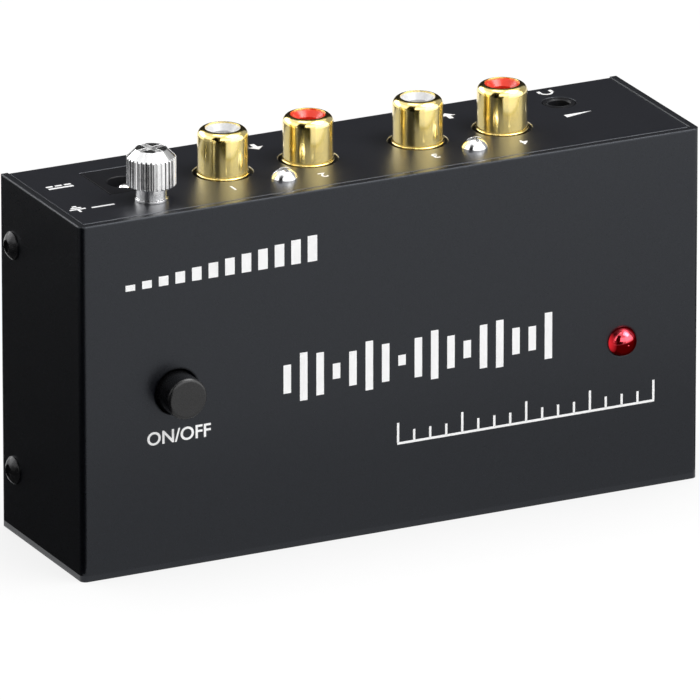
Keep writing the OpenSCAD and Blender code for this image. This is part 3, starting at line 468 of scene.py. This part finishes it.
def make_wall(name, level, azimuths, low, high):
    """A curved card that stands WALL_REACH from the middle."""
    make_card(name, level, ring(azimuths, WALL_REACH, low), ring(azimuths, WALL_REACH, high))


def make_mat(name, level, azimuths, near, far, centre=(0, 0)):
    """A card on the floor, as part of a disc with a hole."""
    make_card(name, level, ring(azimuths, near, CARD_HEIGHT, centre),
              ring(azimuths, far, CARD_HEIGHT, centre))


def make_lamp(name, place, size, level):
    """An area lamp whose face has that brightness, turned to the part."""
    data = bpy.data.lights.new(name, "AREA")
    data.shape = "RECTANGLE"
    data.size, data.size_y = size
    data.energy = level * math.pi * size[0] * size[1]
    lamp = bpy.data.objects.new(name, data)
    scene.collection.objects.link(lamp)
    lamp.location = place
    lamp.rotation_euler = (Vector(LAMP_TARGET) - Vector(place)).to_track_quat("-Z", "Y").to_euler()


def make_near_cards():
    """The cards that lie at the box's foot."""
    left, front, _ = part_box("cover")[0]
    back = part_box("cover")[1][1]
    # black floor that the box's front-left corner mirrors, and dim floor for its left end
    make_mat("card_corner", 0.0, (-150, 6), CORNER_START, CORNER_REACH_LEFT, (left, front))
    make_card("card_left", 0.035, [(left, front, CARD_HEIGHT), (left, back, CARD_HEIGHT)],
              LEFT_CARD_FAR)
    # black floor for the front-right corner
    make_mat("card_corner_right", 0.0, (74, 125), CORNER_START, CORNER_REACH_RIGHT,
             (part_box("cover")[1][0], front))
    # painted shade in reflection: floor just in front of the printed face, as the gloss sees it, a
    # little less bright than the rest
    far = front - FRONT_CARD_DEPTH
    make_card("card_front", 0.74,
              [(left, front, CARD_HEIGHT), (FRONT_CARD_RIGHT, front, CARD_HEIGHT)],
              [(left + FRONT_CARD_SHIFTS[0], far, CARD_HEIGHT),
               (FRONT_CARD_RIGHT + FRONT_CARD_SHIFTS[1], far, CARD_HEIGHT)])


def make_stage():
    """World, floor, lamps, and the cards that the jacks and the paint mirror."""
    make_world()
    make_floor()
    make_lamp("key", (0.63, -0.5, 1.32), (1.1, 1.1), 4.5)
    make_lamp("top", (-0.2, 0.3, 1.8), (0.8, 0.8), 2.5)
    make_near_cards()
    for name, level, azimuths, high in DARK_SIDES:
        make_mat("card_" + name, level, azimuths, DARK_SIDES_START, WALL_REACH)
        make_wall("wall_" + name, level, azimuths, 0, high)
    for name, level, azimuths, start in BRIGHT_MATS:
        make_mat(name, level, azimuths, start, WALL_REACH)
    for name, level, azimuths, low, high in WALLS:
        make_wall(name, level, azimuths, low, high)
    # what the broken front edges mirror: a card that leans over the front-right
    make_card("light_front_edge", 9.0, ring((35, 67), 0.55, 1.32), ring((35, 67), 1.05, 0.95))


# ---------------------------------------------------------------- printed marks

MARK_RISE = 0.03 * MM
MARK_SUNK = 0.02 * MM
# capital height as a share of the letters' size, what is added round each stroke in
# metres, and the steps of a curve
CAPITAL_SHARE = 0.7
STROKE_GAIN = 0.00005
LETTER_STEPS = 4

# the rest of this section is in mm across and up a face

# level marks: twelve bars that rise to the right, from their lower left
BAR_PITCH = 2.95
LEVEL_BARS = 12
LEVEL_PLACE = (-46.9, 48.4)
LEVEL_WIDE = 1.7
LEVEL_FIRST = 1
LEVEL_RISE = 0.31

# wave marks: bars round a middle line, whose height follows a sine
WAVE_BARS = 17
WAVE_PLACE = (-19, 29)
WAVE_WIDE = 1.35
WAVE_LEAST = 1.6
WAVE_SWING = 6.8
WAVE_RATE = 0.83
WAVE_PHASE = 0.5

# scale marks: a line, and ticks with a long one at each fourth place. A tick is its
# middle above the foot, and its height
SCALE_LINE = (24.2, 14.75, 46.8, 0.4)
SCALE_TICKS = 17
SCALE_LONG_EACH = 4
SCALE_START = 0.95
SCALE_PITCH = 2.9063
SCALE_FOOT = 14.9
SCALE_WIDE = 0.4
SCALE_LONG = (1.7, 3.4)
SCALE_SHORT = (0.95, 1.9)

SWITCH_WORDS_PLACE = (-38.4, 22.5)
SWITCH_WORDS_HEIGHT = 2.2

JACK_NUMBERS = (("1", (25.1, 7.7)), ("2", (9.3, 8.35)), ("3", (-11.1, 7.9)), ("4", (-27.1, 8.1)))
NUMBER_HEIGHT = 1.9

# arrows: the middle of each and its way, 1 for up the panel. Half the width of the stem
# and of the head, and the foot, the neck and the tip along the way
ARROWS = (((13.0, -9), 1), ((-21.95, -9), -1))
ARROW_STEM = 0.4
ARROW_HEAD = 1.3
ARROW_FOOT = 1.3
ARROW_NECK = 0.1
ARROW_TIP = 1.4

# headphone mark: the band's outer and inner radius, and a pad at each side
HEADPHONE_PLACE = (-41.6, -12.6)
HEADPHONE_BAND = (1.2, 0.85)
HEADPHONE_STEPS = 12
PAD_OUT = 1.05
PAD_LEVEL = -12.9


def find_faces():
    """The printed face and the jack panel: an origin, and the directions across and up."""
    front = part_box("cover")[0][1]
    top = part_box("chassis")[1][2]
    return {"front": (Vector((0, front, 0)), Vector((1, 0, 0)), Vector((0, 0, 1))),
            "panel": (Vector((0, 0, top)), Vector((-1, 0, 0)), Vector((0, -1, 0)))}


def new_piece(name, data, material):
    """A piece fixed to the box."""
    data.materials.append(material)
    piece = bpy.data.objects.new(name, data)
    scene.collection.objects.link(piece)
    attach(piece, "root")


def make_marks(name, face, outlines):
    """Printed marks: outlines are closed rows of (across, up) in mm, anticlockwise."""
    origin, across, up = faces[face]
    out = across.cross(up)
    mesh = bmesh.new()
    for outline in outlines:
        foot = [origin + (across * u + up * v) * MM for u, v in outline]
        top = [mesh.verts.new(point + out * MARK_RISE) for point in foot]
        low = [mesh.verts.new(point - out * MARK_SUNK) for point in foot]
        mesh.faces.new(top)
        mesh.faces.new(low[::-1])
        for k, (a, b) in enumerate(zip(top, top[1:] + top[:1])):
            mesh.faces.new((b, a, low[k], low[(k + 1) % len(low)]))
    new_piece(name, to_data(name, mesh), materials["ink"])


def make_words(name, face, words, centre, height):
    """Plain letters or numbers of that height, as a flat mesh."""
    origin, across, up = faces[face]
    text = bpy.data.curves.new(name + "_text", "FONT")
    text.body = words
    text.align_x = "CENTER"
    text.align_y = "CENTER"
    text.size = height / CAPITAL_SHARE * MM
    text.extrude = (MARK_RISE + MARK_SUNK) / 2
    text.offset = STROKE_GAIN
    text.resolution_u = LETTER_STEPS
    holder = bpy.data.objects.new(name + "_text", text)
    scene.collection.objects.link(holder)
    bpy.context.view_layer.update()
    data = bpy.data.meshes.new_from_object(holder.evaluated_get(
        bpy.context.evaluated_depsgraph_get()))
    bpy.data.objects.remove(holder)
    out = across.cross(up)
    middle_rise = out * (MARK_RISE - MARK_SUNK) / 2
    place = origin + (across * centre[0] + up * centre[1]) * MM + middle_rise
    turn = Matrix((across, up, out)).transposed().to_4x4()
    data.transform(Matrix.Translation(place) @ turn)
    new_piece(name, data, materials["ink"])


def bar(u, v, wide, high):
    """A rectangle by its middle and size."""
    return [(u - wide / 2, v - high / 2), (u + wide / 2, v - high / 2),
            (u + wide / 2, v + high / 2), (u - wide / 2, v + high / 2)]


def arrow(u, v, way):
    """An arrow by its middle, which points up the face or, with way -1, down it."""
    foot = v - ARROW_FOOT * way
    neck = v + ARROW_NECK * way
    outline = [(u - ARROW_STEM, foot), (u + ARROW_STEM, foot), (u + ARROW_STEM, neck),
               (u + ARROW_HEAD, neck), (u, v + ARROW_TIP * way), (u - ARROW_HEAD, neck),
               (u - ARROW_STEM, neck)]
    return outline[::way]


def make_front_marks():
    """Level bars, a wave, a scale and ON/OFF under the button."""
    level = []
    for k in range(LEVEL_BARS):
        high = LEVEL_FIRST + LEVEL_RISE * k
        level.append(bar(LEVEL_PLACE[0] + BAR_PITCH * k, LEVEL_PLACE[1] + high / 2, LEVEL_WIDE, high))
    make_marks("level_marks", "front", level)
    wave = []
    for k in range(WAVE_BARS):
        high = WAVE_LEAST + WAVE_SWING * abs(math.sin(WAVE_RATE * k + WAVE_PHASE))
        wave.append(bar(WAVE_PLACE[0] + BAR_PITCH * k, WAVE_PLACE[1], WAVE_WIDE, high))
    make_marks("wave_marks", "front", wave)
    scale = [bar(*SCALE_LINE)]
    for k in range(SCALE_TICKS):
        middle_up, high = SCALE_LONG if k % SCALE_LONG_EACH == 0 else SCALE_SHORT
        scale.append(bar(SCALE_START + SCALE_PITCH * k, SCALE_FOOT + middle_up, SCALE_WIDE, high))
    make_marks("scale_marks", "front", scale)
    make_words("switch_words", "front", "ON/OFF", SWITCH_WORDS_PLACE, SWITCH_WORDS_HEIGHT)


def make_panel_marks():
    """Jack numbers, arrows, and the signs of the other sockets."""
    for number, place in JACK_NUMBERS:
        make_words("jack_number_" + number, "panel", number, place, NUMBER_HEIGHT)
    make_marks("arrow_marks", "panel", [arrow(*place, way) for place, way in ARROWS])
    # direct current: a line over three dashes
    direct = [bar(49.8, -4.7, 4.4, 0.5)]
    direct += [bar(49.8 + 1.6 * k, -5.7, 1.2, 0.5) for k in (-1, 0, 1)]
    make_marks("direct_current_mark", "panel", direct)
    # ground: a stem, three lines that shorten, and a bar beside them
    ground = [bar(52, 6.9, 0.4, 1.2), bar(52, 6.2, 2.8, 0.4), bar(52, 5.5, 1.8, 0.4),
              bar(52, 4.8, 0.8, 0.4), bar(47.6, 6.4, 4.0, 0.45)]
    make_marks("ground_mark", "panel", ground)
    # headphones: half a band and two pads
    u, v = HEADPHONE_PLACE
    turns = [math.pi * k / HEADPHONE_STEPS for k in range(HEADPHONE_STEPS + 1)]
    band = []
    for reach, way in zip(HEADPHONE_BAND, (1, -1)):
        band += [(u + reach * math.cos(a), v + reach * math.sin(a)) for a in turns[::way]]
    pads = [bar(u + PAD_OUT * side, PAD_LEVEL, 0.6, 1.0) for side in (-1, 1)]
    make_marks("headphone_mark", "panel", [band] + pads)
    # output level: a wedge
    make_marks("output_mark", "panel", [[(-44, -1), (-39, -1), (-39, 0.2)]])


# ---------------------------------------------------------------- trim of the jacks

RING_STEPS = 96
WIRE_STEPS = 8
# radius of the jack panel's holes, of an RCA shell and of the headphone jack's mouth
HOLE_R = 5 * MM
SHELL_R = 4.15 * MM
PHONE_R = 2.05 * MM
# the edge of a hole, lined white as a painted highlight, and the beads
EDGE_DEPTH = 0.25 * MM
EDGE_SKIN = 0.03 * MM
BEAD_SINK = 0.05 * MM
BEAD_WIRE = 0.17 * MM
MOUTH_WIRE = 0.05 * MM


def make_ring(name, centre, radius, wire, look):
    """A thin round ring lying flat."""
    mesh = bmesh.new()
    loops = []
    for i in range(RING_STEPS):
        a = math.tau * i / RING_STEPS
        loop = []
        for k in range(WIRE_STEPS):
            b = math.tau * k / WIRE_STEPS
            reach = radius + wire * math.cos(b)
            loop.append(mesh.verts.new((centre[0] + reach * math.cos(a),
                                        centre[1] + reach * math.sin(a),
                                        centre[2] + wire * math.sin(b))))
        loops.append(loop)
    for i in range(RING_STEPS):
        one, two = loops[i], loops[(i + 1) % RING_STEPS]
        for k in range(WIRE_STEPS):
            j = (k + 1) % WIRE_STEPS
            mesh.faces.new((one[k], two[k], two[j], one[j])).smooth = True
    new_piece(name, to_data(name, mesh), materials[look])


def make_sleeve(name, centre, radius, depth, look):
    """The cut edge of a round hole: a very thin sleeve that lines it. In white it is a painted
    highlight on that edge.
    """
    mesh = bmesh.new()
    rows = []
    for reach, drop in ((radius, 0), (radius - EDGE_SKIN, EDGE_SKIN), (radius - EDGE_SKIN, depth),
                        (radius, depth)):
        turns = [math.tau * i / RING_STEPS for i in range(RING_STEPS)]
        rows.append([mesh.verts.new((centre[0] + reach * math.cos(a),
                                     centre[1] + reach * math.sin(a),
                                     centre[2] - drop)) for a in turns])
    for one, two in zip(rows, rows[1:] + rows[:1]):
        for i in range(RING_STEPS):
            j = (i + 1) % RING_STEPS
            mesh.faces.new((one[i], one[j], two[j], two[i]))
    bmesh.ops.recalc_face_normals(mesh, faces=mesh.faces)
    new_piece(name, to_data(name, mesh), materials[look])


def middle(node):
    """The middle of a node's box, across the jack panel."""
    low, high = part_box(node)
    return (low[0] + high[0]) / 2, (low[1] + high[1]) / 2


def make_rings():
    """A cut edge, white as a painted highlight, and a bead round each RCA jack, and the headphone
    jack's mouth.
    """
    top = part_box("chassis")[1][2]
    for jack in ("input_left", "input_right", "output_left", "output_right"):
        x, y = middle(jack + "_insulator")
        # painted highlight: the real cut edge of each hole is lined in white plastic
        make_sleeve(jack + "_hole_edge_painted_highlight", (x, y, top), HOLE_R, EDGE_DEPTH, "white_plastic")
        make_ring(jack + "_base_bead", (x, y, top - BEAD_SINK), SHELL_R, BEAD_WIRE, "gold_plate")
    x, y = middle("headphone_jack_body")
    make_ring("headphone_mouth_edge", (x, y, top), PHONE_R, MOUTH_WIRE, "black_screw")


# ---------------------------------------------------------------- return spring


def make_return_spring():
    """The button's spring: a copy of switch_spring fixed to the box, which takes the part's place
    while the part is hidden.
    """
    data = nodes["switch_spring"].data.copy()
    piece = bpy.data.objects.new("button_return_spring", data)
    scene.collection.objects.link(piece)
    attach(piece, "root")
    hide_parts("switch_spring")
    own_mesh(piece)


# ---------------------------------------------------------------- the scene

make_camera()
materials = make_materials()
make_stage()
faces = find_faces()
make_front_marks()
make_panel_marks()
make_rings()
make_return_spring()

scene.view_settings.view_transform = "Standard"
